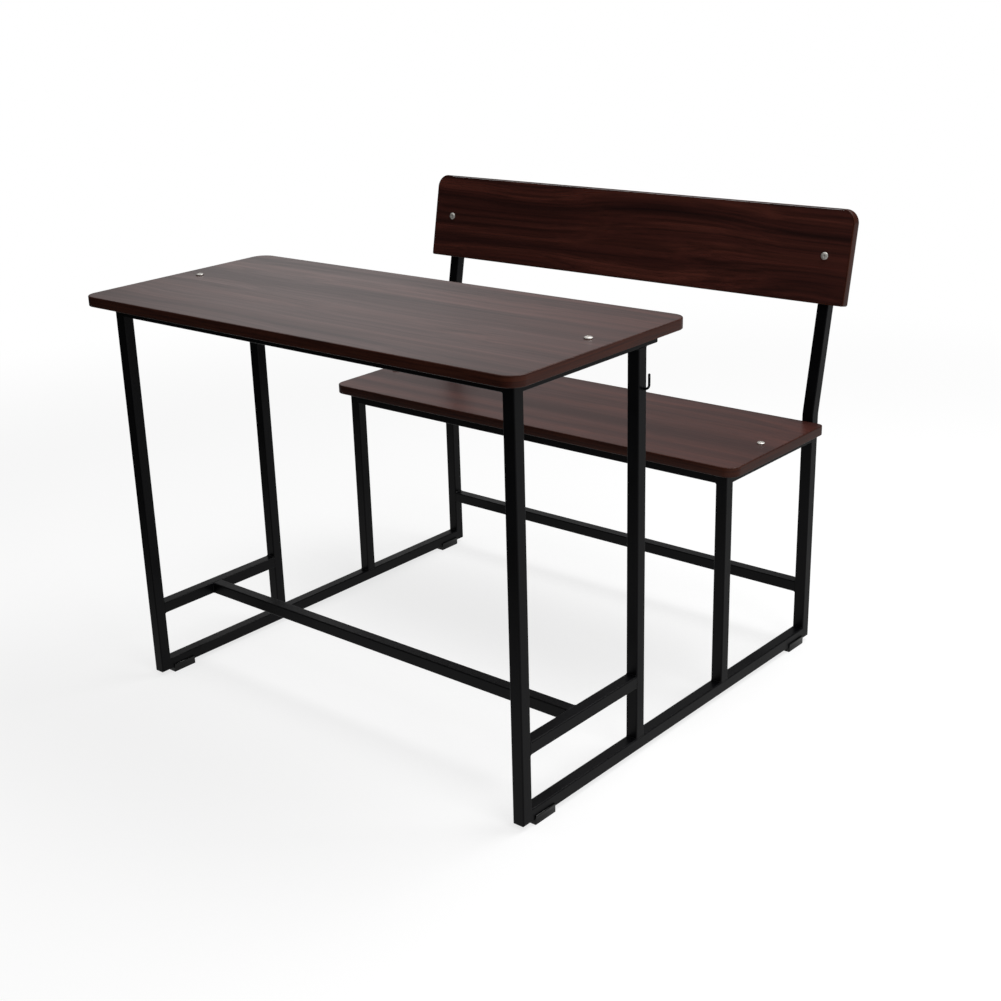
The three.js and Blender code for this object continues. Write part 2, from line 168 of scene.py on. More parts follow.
def grid_faces(rows, columns, wrap_rows=False):
    """Quads between neighbouring rows and columns of a grid of points numbered row by row. The last column
    joins the first, and with wrap_rows the last row does too."""
    row = np.arange(rows if wrap_rows else rows - 1)[:, None]
    column = np.arange(columns)[None, :]
    next_row, next_column = (row + 1) % rows, (column + 1) % columns
    corners = [row * columns + column, row * columns + next_column]
    corners += [next_row * columns + next_column, next_row * columns + column]
    return np.stack(np.broadcast_arrays(*corners), -1).reshape(-1, 4)


def triangles_of(faces):
    """Every face as a fan of triangles from its first corner."""
    fans = []
    for block in faces:
        for corner in range(1, block.shape[1] - 1):
            fans.append(block[:, [0, corner, corner + 1]])
    return np.vstack(fans)


def new_piece(name, parts, material, stands_for=()):
    """One object from parts, each (points (n, 3), list of face arrays). A part whose signed volume, the sum
    of a . (b x c) / 6 over its triangles, is negative has its faces turned round. Edges flatter than
    smooth_below shade smooth."""
    smooth_below = math.radians(38)
    all_points, all_faces, start = [], [], 0
    for points, faces in parts:
        a, b, c = (points[corner] for corner in triangles_of(faces).T)
        outwards = np.einsum("ij,ij->", a, np.cross(b, c)) > 0
        all_points.append(points)
        for block in faces:
            all_faces += ((block if outwards else block[:, ::-1]) + start).tolist()
        start += len(points)
    mesh = bpy.data.meshes.new(name)
    mesh.from_pydata(np.vstack(all_points).tolist(), [], all_faces)
    mesh.polygons.foreach_set("use_smooth", np.ones(len(mesh.polygons), bool))
    mesh.set_sharp_from_angle(angle=smooth_below)
    mesh.materials.append(material)
    mesh.update()
    piece = bpy.data.objects.new(name, mesh)
    bpy.context.scene.collection.objects.link(piece)
    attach(piece, "root")
    if stands_for:
        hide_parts(*stands_for)
    return piece


def unit(rows):
    """The rows, each scaled to length 1."""
    return rows / np.linalg.norm(rows, axis=1, keepdims=True)


def square_tube(centres, uprights, sideways, slants=(0, 0)):
    """Hollow tube along centres (n, 3). Section point (a, b) lies at centre + a * sideways + b * upright.
    An end with slant s is cut at 45 degrees: it is shifted inwards by half the tube plus s * b."""
    outer = rounded_loop(half_tube, half_tube, tube_corner)
    inner = rounded_loop(half_tube - tube_wall, half_tube - tube_wall, tube_corner - tube_wall)
    count = len(centres)
    along = unit(np.gradient(centres, axis=0))
    rows = []
    for section, order in ((outer, range(count)), (inner, reversed(range(count)))):
        for i in order:
            row = centres[i] + section[:, :1] * sideways + section[:, 1:] * uprights[i]
            for end, inwards, slant in ((0, 1, slants[0]), (count - 1, -1, slants[1])):
                if i == end and slant:
                    shift = half_tube - mitre_gap + slant * section[:, 1:]
                    row = row + inwards * shift * along[i]
            rows.append(row)
    return np.vstack(rows), [grid_faces(2 * count, len(outer), wrap_rows=True)]


def tube_between_faces(node, axis, sideways, upright, slants=(0, 0)):
    """Straight tube that fills a node's box along one axis."""
    low, high = box_of(node)
    ends = np.tile((low + high) / 2, (2, 1))
    ends[:, axis] = low[axis], high[axis]
    return square_tube(ends, np.tile(upright, (2, 1)), np.array(sideways), slants)


def post_line(steps=16):
    """Centre line (y, z) and lean of a rear post: straight up, an arc of bend_radius through the lean, then
    straight on. The arc touches both straights at bend_radius * tan(lean / 2) from their crossing."""
    turned = np.linspace(0, lean, steps + 1)
    reach = bend_radius * math.tan(lean / 2)
    foot_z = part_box("bench_rear_post_left")[0].z
    top_y, top_z = post_length * math.sin(lean), bend_z + post_length * math.cos(lean)
    y = np.concatenate([[0], bend_radius * (1 - np.cos(turned)), [top_y]])
    z = np.concatenate([[foot_z], bend_z - reach + bend_radius * np.sin(turned), [top_z]])
    return bend_y + y, z, np.concatenate([[0], turned, [lean]])


coat = powder_coat()
X, Y, Z = np.eye(3)

# A side frame's straight tubes: each one's axis, its upright direction, and the slants of its ends, where 0
# is a square cut
side_tubes = {
    "floor_runner": (1, Z, (1, 1)),
    "desk_front_leg": (2, Y, (1, 1)),
    "desk_rear_leg": (2, Y, (0, 0)),
    "desk_top_rail": (1, Z, (-1, 0)),
    "desk_lower_rail": (1, Z, (0, 0)),
    "bench_front_leg": (2, Y, (0, 1)),
    "seat_side_rail": (1, Z, (-1, 0)),
}
cross_tubes = ["desk_front_rail", "desk_rear_rail", "footrest_bar"]
cross_tubes += ["seat_front_rail", "seat_rear_rail", "bench_stretcher"]

for side, sign in SIDES.items():
    for kind, (axis, upright, slants) in side_tubes.items():
        node = f"{kind}_{side}"
        part = tube_between_faces(node, axis, X, upright, slants)
        new_piece(f"tube_{node}", [part], coat, [node])
    y, z, leans = post_line()
    centres = np.stack([np.full_like(y, sign * side_x), y, z], 1)
    uprights = np.stack([np.zeros_like(y), np.cos(leans), -np.sin(leans)], 1)
    part = square_tube(centres, uprights, X, (-1, 0))
    new_piece(f"tube_bench_rear_post_{side}", [part], coat, [f"bench_rear_post_{side}"])
for node in cross_tubes:
    part = tube_between_faces(node, 0, Y, Z)
    new_piece(f"tube_{node}", [part], coat, [node])

# Welds
# Every tube is welded all round. In the inner corners the bead stands 2 mm proud with its ripples showing.
# Where two tubes are flush it fills the groove between their rounded corners, and a mitre's outside is
# ground flat.
bead_radius = 2 * MM
bead_outside = 0.2 * MM
bead_flush = 0.3 * MM - bead_radius
bead_ground = 0.1 * MM - bead_radius
ripple_pitch = 2.4 * MM
ripple_height = 0.16 * MM
points_a_ripple = 6


def weld_loop(reach, slope=0):
    """Closed loop round a tube end, as (a, b, along, outward a, outward b). reach says how far each side,
    in the order +a, +b, -a, -b, lies from the tube's centre. On a mitre the loop climbs by slope * b."""
    centre = np.array([reach[0] - reach[2], reach[1] - reach[3]]) / 2
    halves = np.array([reach[0] + reach[2], reach[1] + reach[3]]) / 2
    outline = rounded_loop(halves[0], halves[1], tube_corner, steps=6, flat=0)
    closed = np.vstack([outline, outline[:1]])
    lengths = np.concatenate([[0], np.cumsum(np.linalg.norm(np.diff(closed, axis=0), axis=1))])
    count = int(lengths[-1] / ripple_pitch) * points_a_ripple
    marks = np.linspace(0, lengths[-1], count, endpoint=False)
    a, b = (np.interp(marks, lengths, column) for column in closed.T)
    ahead = unit(np.stack([np.roll(a, -1) - np.roll(a, 1), np.roll(b, -1) - np.roll(b, 1)], 1))
    return a + centre[0], b + centre[1], slope * (b + centre[1]), ahead[:, 1], -ahead[:, 0]


def circles(outward, across, turn):
    """Unit circle round each point of a line: outward * cos + across * sin of the angles turn."""
    return outward[:, None] * np.cos(turn)[:, None] + across[:, None] * np.sin(turn)[:, None]


def weld_bead(origin, axes, reach, slope=0, sides=10):
    """Bead along a weld loop at origin, with axes a, b and the tube's own. Its radius is a sine of the way
    along, one wave every ripple_pitch, that runs ahead in the middle of the bead by lead, as the frozen
    puddle's rims do."""
    lead = 1.2
    a, b, climb, out_a, out_b = weld_loop(reach, slope)
    line = origin + np.stack([a, b, climb], 1) @ axes
    ahead = unit(np.roll(line, -1, axis=0) - np.roll(line, 1, axis=0))
    outward = np.stack([out_a, out_b, np.zeros_like(a)], 1) @ axes
    outward = unit(outward - np.einsum("ij,ij->i", outward, ahead)[:, None] * ahead)
    across = np.cross(ahead, outward)
    round_it = np.linspace(0, 2 * math.pi, sides, endpoint=False)
    phase = np.arange(len(a))[:, None] / points_a_ripple * 2 * math.pi
    radius = bead_radius + ripple_height * (np.sin(phase + lead * np.cos(round_it)) - 0.5)
    points = line[:, None] + radius[:, :, None] * circles(outward, across, round_it)
    return points.reshape(-1, 3), [grid_faces(len(a), sides, wrap_rows=True)]


def reach_of(inner_sides):
    """How far the bead's centre lies from the tube's centre on its four sides, +a, +b, -a, -b in turn:
    outside the tube in an inner corner, inside it where the tubes are flush or ground."""
    offset = {"inner": bead_outside, "flush": bead_flush, "ground": bead_ground}
    return [half_tube + offset[kind] for kind in inner_sides]


# On which side of the tube each kind of bead lies, in the order of reach_of: inner_rear for corners whose
# inside faces the rear, inner_front for the other corners, flush_sides for butted tubes of one side frame
inner_rear = ["ground", "inner", "ground", "ground"]
inner_front = ["ground", "ground", "ground", "inner"]
flush_sides = ["flush", "inner", "flush", "inner"]
for side, sign in SIDES.items():
    x = sign * side_x
    inner_x = x - sign * half_tube
    rails = ("floor_runner", "desk_lower_rail", "seat_side_rail", "desk_top_rail")
    runner_z, lower_z, seat_z, rail_z = (middle(f"{rail}_{side}")[2] for rail in rails)
    legs = ("desk_front_leg", "desk_rear_leg", "bench_front_leg")
    front_y, rear_y, bench_y = (middle(f"{leg}_{side}")[1] for leg in legs)
    leg_axes, rail_axes = np.stack([X, Y, Z]), np.stack([X, Z, Y])
    beads = [
        weld_bead(np.array([x, front_y, runner_z]), leg_axes, reach_of(inner_rear), 1),
        weld_bead(np.array([x, bend_y, runner_z]), leg_axes, reach_of(inner_front), -1),
        weld_bead(np.array([x, front_y, rail_z]), leg_axes, reach_of(inner_rear), -1),
        weld_bead(np.array([x, bench_y, seat_z]), leg_axes, reach_of(inner_rear), -1),
    ]
    for y, z in (
        (rear_y, runner_z + half_tube),
        (rear_y, rail_z - half_tube),
        (bench_y, runner_z + half_tube),
    ):
        beads.append(weld_bead(np.array([x, y, z]), leg_axes, reach_of(flush_sides)))
    for y, z in (
        (front_y + half_tube, lower_z),
        (rear_y - half_tube, lower_z),
        (bend_y - half_tube, seat_z),
    ):
        beads.append(weld_bead(np.array([x, y, z]), rail_axes, reach_of(flush_sides)))
    # A cross tube's sides in that order are its rear, top, front and underside
    cross_sides = {
        "desk_front_rail": ["inner", "ground", "flush", "inner"],
        "desk_rear_rail": ["inner", "ground", "inner", "inner"],
        "footrest_bar": ["inner", "flush", "inner", "flush"],
        "seat_front_rail": ["inner", "ground", "flush", "inner"],
        "seat_rear_rail": ["inner", "ground", "inner", "flush"],
        "bench_stretcher": ["flush", "inner", "flush", "inner"],
    }
    for node, kinds in cross_sides.items():
        origin = middle(node)
        origin[0] = inner_x
        beads.append(weld_bead(origin, np.stack([Y, Z, X]), reach_of(kinds)))
    new_piece(f"welds_{side}", beads, coat)

# Bag hook
# A 4 mm steel rod bent into a J, with its tip rounded, welded to the outside of the right-hand rear desk
# leg and coated with the frame.
hook_low, hook_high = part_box("bag_hook")
hook_radius = 2 * MM
hook_bend = 8 * MM
hook_sides = 20
hook_root = np.array([side_x + half_tube, (hook_low.y + hook_high.y) / 2, hook_low.z + hook_radius])
hook_arm_x = hook_high.x - hook_radius


def rod_along(line, across, radius):
    """Skin of a round rod along a line in the plane square to across. Its radius may change along the
    line."""
    outward = np.cross(unit(np.gradient(line, axis=0)), across)
    turn = np.linspace(0, 2 * math.pi, hook_sides, endpoint=False)
    rings = circles(outward, np.broadcast_to(across, outward.shape), turn)
    points = line[:, None] + radius[:, None, None] * rings
    return points.reshape(-1, 3), [grid_faces(len(line), hook_sides)]


def bag_hook():
    """Straight out of the leg, a quarter turn, straight up, and a half-round tip whose radius falls as a
    cosine, down to tip_flat. Both ends close with one flat face."""
    tip_flat = hook_radius / 50
    turn = np.linspace(0, math.pi / 2, 13)
    bend_x = hook_arm_x - hook_bend * (1 - np.sin(turn))
    bend_lift = hook_root[2] + hook_bend * (1 - np.cos(turn))
    tip = np.linspace(0, math.pi / 2, 9)
    tip_z = hook_high.z - hook_radius * (1 - np.sin(tip))
    x = np.concatenate([[hook_root[0] - tube_wall], bend_x, np.full_like(tip, hook_arm_x)])
    z = np.concatenate([[hook_root[2]], bend_lift, tip_z])
    line = np.stack([x, np.full_like(x, hook_root[1]), z], 1)
    radius = np.concatenate([np.full(len(x) - len(tip), hook_radius), hook_radius * np.cos(tip)])
    radius[-1] = tip_flat
    points, faces = rod_along(line, Y, radius)
    root_face = np.arange(hook_sides)
    tip_face = np.arange(len(points) - hook_sides, len(points))
    return points, faces + [root_face[None, ::-1], tip_face[None]]


def hook_bead():
    """Small ring of weld round the foot of the hook: a torus whose own radius ripples as a sine, six times
    a turn."""
    points_round, bead_sides = 48, 12
    bead, ripple_share, ripples = 1.1 * MM, 0.12, 6
    ring_radius = hook_radius + 0.3 * MM
    turn = np.linspace(0, 2 * math.pi, points_round, endpoint=False)
    spot = np.linspace(0, 2 * math.pi, bead_sides, endpoint=False)
    thick = bead * (1 + ripple_share * np.sin(ripples * turn))
    radius = ring_radius + thick[:, None] * np.cos(spot)
    x = hook_root[0] + thick[:, None] * np.sin(spot)
    y = hook_root[1] + radius * np.cos(turn)[:, None]
    z = hook_root[2] + radius * np.sin(turn)[:, None]
    return np.stack([x, y, z], -1).reshape(-1, 3), [grid_faces(points_round, bead_sides, wrap_rows=True)]


new_piece("hook", [bag_hook()], coat, ["bag_hook"])
new_piece("hook_weld", [hook_bead()], coat)

# End plugs
# Black low-density polyethylene, moulded: a flat cap as large as the tube, rounded at its rim, on a ribbed
# insert that grips the bore. Two close the rear ends of the desk's top rails and two the tops of the posts.
plug_cap = 2 * MM
plug_gap = 0.3 * MM
plug_round = 0.9 * MM
insert_far = 14 * MM
insert_near = 1 * MM
rib_pitch = 4 * MM
rib_depth = 0.25 * MM
PLASTIC_BLACK = 0x060606
PLASTIC_WORN = 0x0D0D0E


def moulded_plastic():
    """Polyethylene from a spark-eroded mould: black with a soft gloss over a fine leathery grain, which is
    drawn 1.5 mm wide so that it shows, and rubbed a little greyer in patches."""
    grain_width = 1.5 * MM
    grain_depth = 0.15 * MM
    patch_width = 12 * MM
    material, tree, shader = new_material("moulded_polyethylene_black")
    place = add(tree, "ShaderNodeTexCoord").outputs["Object"]
    patches = add(tree, "ShaderNodeTexNoise", {"Vector": place, "Scale": 1 / patch_width, "Detail": 5.0})
    worn = add(tree, "ShaderNodeMapRange", {0: patches.outputs["Fac"], 1: 0.45, 2: 0.75})
    blacks = {0: worn.outputs[0], 6: linear(PLASTIC_BLACK), 7: linear(PLASTIC_WORN)}
    colour = add(tree, "ShaderNodeMix", blacks, data_type="RGBA")
    cells = {"Vector": place, "Scale": 1 / grain_width}
    grain = add(tree, "ShaderNodeTexVoronoi", cells, feature="SMOOTH_F1")
    relief = {"Height": grain.outputs["Distance"], "Strength": 0.3, "Distance": grain_depth}
    bump = add(tree, "ShaderNodeBump", relief)
    tree.links.new(colour.outputs[2], shader.inputs["Base Color"])
    tree.links.new(bump.outputs["Normal"], shader.inputs["Normal"])
    shader.inputs["Roughness"].default_value = 0.16
    shader.inputs["Specular IOR Level"].default_value = 0.3
    return material


def end_plug(origin, sideways, upright, along):
    """Loops from the insert's inner end to the middle of the cap. Each is a rounded square with its own
    half width, corner and height. The insert's width follows the size of a cosine of the height, with one
    rib every rib_pitch, and the cap's rim is a quarter circle of plug_round."""
    insert = half_tube - tube_wall - plug_gap
    insert_corner = tube_corner - tube_wall
    loops = []
    for height in np.linspace(-insert_far, -insert_near, 27):
        width = insert - rib_depth * (1 - abs(math.cos(math.pi * height / rib_pitch)))
        loops.append((width, insert_corner, height))
    loops += [(insert, insert_corner, plug_gap), (half_tube, tube_corner, plug_gap)]
    for turn in np.linspace(0, math.pi / 2, 7):
        inset = plug_round * (1 - math.cos(turn))
        height = plug_gap + plug_cap - plug_round * (1 - math.sin(turn))
        loops.append((half_tube - inset, tube_corner - inset / 2, height))
    flat_half = half_tube - plug_round
    for share in np.linspace(0.9, 0.1, 6):
        loops.append((flat_half * share, tube_corner * share, plug_gap + plug_cap))
    points = []
    for width, corner, height in loops:
        section = rounded_loop(width, width, corner, steps=6, flat=0.3 * MM * width / half_tube)
        points.append(section[:, :1] * sideways + section[:, 1:] * upright + height * along)
    count = len(points[0])
    faces = [grid_faces(len(loops), count), np.arange(count)[None, ::-1]]
    faces.append(np.arange(count * (len(loops) - 1), count * len(loops))[None])
    return origin + np.vstack(points), faces


plastic = moulded_plastic()
lean_up = np.array([0, math.sin(lean), math.cos(lean)])
lean_back = np.array([0, math.cos(lean), -math.sin(lean)])
post_top = np.array([0, bend_y, bend_z]) + post_length * lean_up
for side, sign in SIDES.items():
    rail_end = middle(f"desk_top_rail_{side}")
    rail_end[1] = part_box(f"desk_top_rail_{side}")[1].y
    part = end_plug(rail_end, X, Z, Y)
    new_piece(f"plug_rail_{side}", [part], plastic, [f"rail_plug_{side}"])
    part = end_plug(post_top + sign * side_x * X, X, lean_back, lean_up)
    new_piece(f"plug_post_{side}", [part], plastic, [f"post_plug_{side}"])

# Glides
# Black polyethylene saddles, clipped over the underside of the runners near their ends. They keep the steel
# off the floor: a thick sole, thin walls up the tube's sides, and a ridge along each lip.
glide_edge = 0.6 * MM
glide_lip = 1.2 * MM
glide_rib = 0.6 * MM
glide_clearance = 0.3 * MM
glide_corner = 2 * MM


def saddle_glide(node):
    """U section carried along Y. Each side is written once, as an outer and an inner line of as many
    points, from the middle of the sole up to the lip, and mirrored. At both ends the section draws in along
    its own normals, by a quarter circle of glide_edge. The ends close with quads between the outer and the
    inner line."""
    low, high = box_of(node)
    centre_x, top = (low[0] + high[0]) / 2, high[2]
    rib_out = (high[0] - low[0]) / 2
    wall_out = rib_out - glide_rib
    wall_in = half_tube + glide_clearance
    sole_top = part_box("floor_runner_left")[0].z - glide_clearance
    turn = np.linspace(-math.pi / 2, 0, 7)
    lip_turn = turn[::2]
    ridge_foot, ridge_top = top - 3.5 * glide_lip, top - 2 * glide_lip
    outer = [(0, 0), (wall_out / 2, 0)]
    outer += zip(wall_out - glide_corner * (1 - np.cos(turn)), glide_corner * (1 + np.sin(turn)))
    outer += [(wall_out, sole_top), (wall_out, ridge_foot), (rib_out, ridge_top)]
    outer += zip(rib_out - glide_lip * (1 + np.sin(lip_turn)), top - glide_lip * (1 - np.cos(lip_turn)))
    inner = [(0, sole_top), (wall_in / 2, sole_top)]
    inner += [(wall_in * share, sole_top) for share in np.linspace(0.6, 1, 7)]
    inner += [(wall_in, z) for z in np.linspace(sole_top + glide_edge, top - glide_edge, 6)]
    inner += [(wall_in + glide_edge, top)]
    outer, inner = np.array(outer), np.array(inner)
    section = np.vstack([outer[:0:-1] * [-1, 1], outer, inner[::-1], inner[1:] * [-1, 1]])
    ahead = unit(np.roll(section, -1, axis=0) - np.roll(section, 1, axis=0))
    inwards = np.stack([-ahead[:, 1], ahead[:, 0]], 1)
    rows = []
    for end, sign in ((low[1], 1), (high[1], -1)):
        for turned in np.linspace(0, math.pi / 2, 4)[::sign]:
            drawn_in = section + inwards * glide_edge * (1 - math.sin(turned))
            y = end + sign * glide_edge * (1 - math.cos(turned))
            rows.append(np.stack([centre_x + drawn_in[:, 0], np.full(len(section), y), drawn_in[:, 1]], 1))
    count = len(section)
    out = np.arange(2 * len(outer) - 2)
    cap = np.stack([out, out + 1, count - 2 - out, count - 1 - out], 1)
    faces = [grid_faces(len(rows), count), cap[:, ::-1], cap + count * (len(rows) - 1)]
    return np.vstack(rows), faces


for side in SIDES:
    for end in ("front", "rear"):
        node = f"glide_{side}_{end}"
        new_piece(f"saddle_{side}_{end}", [saddle_glide(node)], plastic, [node])

# Boards
# 18 mm particle board, faced on both sides with melamine paper that is printed as dark red-brown wood and
# pressed with a shallow pore grain. The grain of all three boards runs along X. Their solids keep their own
# meshes.
WOOD_DARK = 0x240F0D
WOOD_MID = 0x3A1A16
WOOD_LIGHT = 0x582C23


def wood_laminate(name, shift, pith_height, tilt, contrast, gloss_level, roughness):
    """Printed wood. The grain is noise drawn out along X: streaks, lines and pores, which are under 0.5 mm
    wide in the real paper and are drawn 1.2 mm wide so that they show. It sways a little from side to side.
    Growth rings lie round a pith that runs askew, pith_height under the face, and are drawn out along X
    into long arches. A ring wave repeats every 2 pi / (20 * scale)."""
    streak_length, streak_width = 2600 * MM, 32 * MM
    line_length, line_width = 1400 * MM, 5 * MM
    pore_length, pore_width, pore_depth = 45 * MM, 1.2 * MM, 0.06 * MM
    sway_length, sway_width, sway_reach = 380 * MM, 150 * MM, 26 * MM
    ring_spacing, ring_stretch = 26.18 * MM, 0.08
    smooth, rough = roughness
    material, tree, shader = new_material(name)
    place = add(tree, "ShaderNodeTexCoord").outputs["Object"]
    moved = add(tree, "ShaderNodeMapping", {"Vector": place, "Location": shift})

    def drawn_out(vector, length, width, detail, fine_share=0.5):
        """Grain whose patches are length long and width wide."""
        scale = (1 / length, 1 / width, 1 / width)
        shrunk = add(tree, "ShaderNodeMapping", {"Vector": vector, "Scale": scale}).outputs[0]
        inputs = {"Vector": shrunk, "Scale": 1.0, "Detail": detail, "Roughness": fine_share}
        return add(tree, "ShaderNodeTexNoise", inputs).outputs["Fac"]

    sway = drawn_out(moved.outputs[0], sway_length, sway_width, 1.0, 0.3)
    sway_by = add(tree, "ShaderNodeMapRange", {0: sway, 3: -sway_reach, 4: sway_reach}).outputs[0]
    sway_vector = add(tree, "ShaderNodeCombineXYZ", {1: sway_by, 2: sway_by}).outputs[0]
    swayed = {0: moved.outputs[0], 1: sway_vector}
    grain = add(tree, "ShaderNodeVectorMath", swayed, operation="ADD").outputs[0]
    streaks = drawn_out(grain, streak_length, streak_width, 2.0)
    lines = drawn_out(grain, line_length, line_width, 3.0, 0.65)
    pores = drawn_out(grain, pore_length, pore_width, 1.0)
    pith = {"Vector": grain, "Location": (0, 0, pith_height), "Rotation": (0, tilt, tilt / 2)}
    askew = add(tree, "ShaderNodeMapping", pith | {"Scale": (ring_stretch, 1, 1)}).outputs[0]
    ring_scale = 2 * math.pi / (20 * ring_spacing)
    ringing = {"Vector": askew, "Scale": ring_scale, "Distortion": 1.2, "Detail": 2.0, "Detail Scale": 0.6}
    rings = add(tree, "ShaderNodeTexWave", ringing, wave_type="RINGS", rings_direction="X")

    # The streaks mix the dark and the light colour, the rings draw that towards the middle one, the lines
    # darken and lighten it, and the pores are dark
    darkest, palest = 0.5 - contrast / 2, 0.5 + contrast / 2
    streak_share = add(tree, "ShaderNodeMapRange", {0: streaks, 1: 0.32, 2: 0.68, 3: darkest, 4: palest})
    ends = {0: streak_share.outputs[0], 6: linear(WOOD_DARK), 7: linear(WOOD_LIGHT)}
    streaked = add(tree, "ShaderNodeMix", ends, data_type="RGBA")
    ring_share = add(tree, "ShaderNodeMapRange", {0: rings.outputs["Fac"], 4: 0.5})
    towards_middle = {0: ring_share.outputs[0], 6: streaked.outputs[2], 7: linear(WOOD_MID)}
    ringed = add(tree, "ShaderNodeMix", towards_middle, data_type="RGBA")
    dark_line, pale_line = 0.95 - 0.37 * contrast, 0.95 + 0.37 * contrast
    line_level = add(tree, "ShaderNodeMapRange", {0: lines, 1: 0.36, 2: 0.64, 3: dark_line, 4: pale_line})
    levelled = {0: 1.0, 6: ringed.outputs[2], 7: line_level.outputs[0]}
    lined = add(tree, "ShaderNodeMix", levelled, data_type="RGBA", blend_type="MULTIPLY")
    pore_share = add(tree, "ShaderNodeMapRange", {0: pores, 1: 0.58, 2: 0.72, 4: 0.45}).outputs[0]
    into_pores = {0: pore_share, 6: lined.outputs[2], 7: linear(WOOD_DARK)}
    pored = add(tree, "ShaderNodeMix", into_pores, data_type="RGBA")

    pale_print = add(tree, "ShaderNodeMath", {0: streaks, 1: lines}, operation="ADD").outputs[0]
    gloss = add(tree, "ShaderNodeMapRange", {0: pale_print, 1: 0.75, 2: 1.25, 3: rough, 4: smooth})
    relief = {"Height": pore_share, "Strength": 0.35, "Distance": pore_depth}
    bump = add(tree, "ShaderNodeBump", relief, invert=True)
    tree.links.new(pored.outputs[2], shader.inputs["Base Color"])
    tree.links.new(gloss.outputs[0], shader.inputs["Roughness"])
    tree.links.new(bump.outputs["Normal"], shader.inputs["Normal"])
    shader.inputs["Specular IOR Level"].default_value = gloss_level
    return material


# Where each board was cut from the print, its pith's height and tilt, how strong the streaks are there, its
# gloss, and how smooth and rough it is at most. The seat is worn dull.
board_grain = {
    "desktop": ((0.31, 0.12, 0.03), 55 * MM, math.radians(2.5), 0.72, 0.5, (0.28, 0.34)),
    "seat": ((1.7, 0.44, 0.21), 70 * MM, math.radians(-2), 0.55, 0.4, (0.36, 0.40)),
    "backrest": ((2.9, 0.83, 0.37), 40 * MM, math.radians(3), 1.0, 0.5, (0.27, 0.35)),
}
for board, choices in board_grain.items():
    laminate = wood_laminate(f"melamine_laminate_{board}", *choices)
    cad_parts[f"{board}_board"].material_slots[0].material = laminate

# Edge bands
# 2 mm ABS lipping, glued round each board and rounded over at both arrises with a 1.5 mm cutter. It is
# printed to match the boards, a little redder, with streaks that run along it.
band_thickness = 2 * MM
band_arris = 1.5 * MM
board_thickness = 18 * MM
board_gap = 0.3 * MM
backrest_rise = 203 * MM
backrest_height = 172 * MM
band_seam = 0.01 * MM
BAND_DARK = 0x290E08
BAND_LIGHT = 0x452013


def lying_board(node):
    """Half sizes of a flat board, and the function that puts (u, v, w) in place: u along X, v to the rear,
    w up from the underside."""
    low, high = box_of(node)
    centre = (low + high) / 2
    base = np.array([centre[0], centre[1], low[2]])
    halves = (high - low)[:2] / 2
    return halves, lambda points: base + points


def leaning_board():
    """The same for the backrest: u along X, v up the posts, w forwards from its back."""
    low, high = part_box("backrest_edge_band")
    middle_up = backrest_rise + backrest_height / 2
    base = np.array([0, bend_y, bend_z]) + middle_up * lean_up - (half_tube + board_gap) * lean_back
    halves = np.array([(high.x - low.x) / 2, backrest_height / 2])
    axes = np.stack([X, lean_up, -lean_back])
    return halves, lambda points: base + points @ axes


def band_outline(halves, front_corner, rear_corner, inset, steps=24):
    """Outline (u, v) at a distance inset from the board's edge, with one radius for the two front or lower
    corners and one for the two rear or upper ones. Starts and ends in the middle of the rear edge, at the
    seam."""
    turn = np.linspace(0, math.pi / 2, steps + 1)
    quarters = []
    corners = ((-1, 1, rear_corner), (-1, -1, front_corner), (1, -1, front_corner), (1, 1, rear_corner))
    for quarter, (a, b, corner) in enumerate(corners):
        start = math.pi / 2 * (quarter + 1)
        arc = (corner - inset) * np.stack([np.cos(start + turn), np.sin(start + turn)], 1)
        quarters.append(arc + [a * (halves[0] - corner), b * (halves[1] - corner)])
    outline = np.vstack(quarters)
    rear = halves[1] - inset
    return np.vstack([[0, rear], outline, [band_seam, rear]])


def edge_band(halves, corners, place):
    """Band section carried round the outline. The section goes up the glued side and down the outside, with
    a quarter circle of band_arris at the top and the bottom. Also returns the way round and the height of
    each point."""
    turn = np.linspace(0, math.pi / 2, 7)
    arris_inset = band_arris * (1 - np.sin(turn))
    arris_drop = band_arris * (1 - np.cos(turn))
    insets = np.concatenate([[band_thickness, band_thickness], arris_inset, arris_inset[::-1]])
    heights = np.concatenate([[0, board_thickness], board_thickness - arris_drop, arris_drop[::-1]])
    columns = []
    for inset, height in zip(insets, heights):
        outline = band_outline(halves, *corners, inset)
        columns.append(np.column_stack([outline, np.full(len(outline), height)]))
    grid = np.stack(columns, 1)
    outside = np.argmin(insets)
    steps = np.linalg.norm(np.diff(grid[:, outside], axis=0), axis=1)
    run = np.concatenate([[0], np.cumsum(steps)])
    rows, sides = len(run), len(insets)
    along = np.column_stack([np.repeat(run, sides), np.tile(heights, rows), np.zeros(rows * sides)])
    faces = [grid_faces(rows, sides), np.arange(sides)[None, ::-1]]
    faces.append(np.arange((rows - 1) * sides, rows * sides)[None])
    return (place(grid.reshape(-1, 3)), faces), along


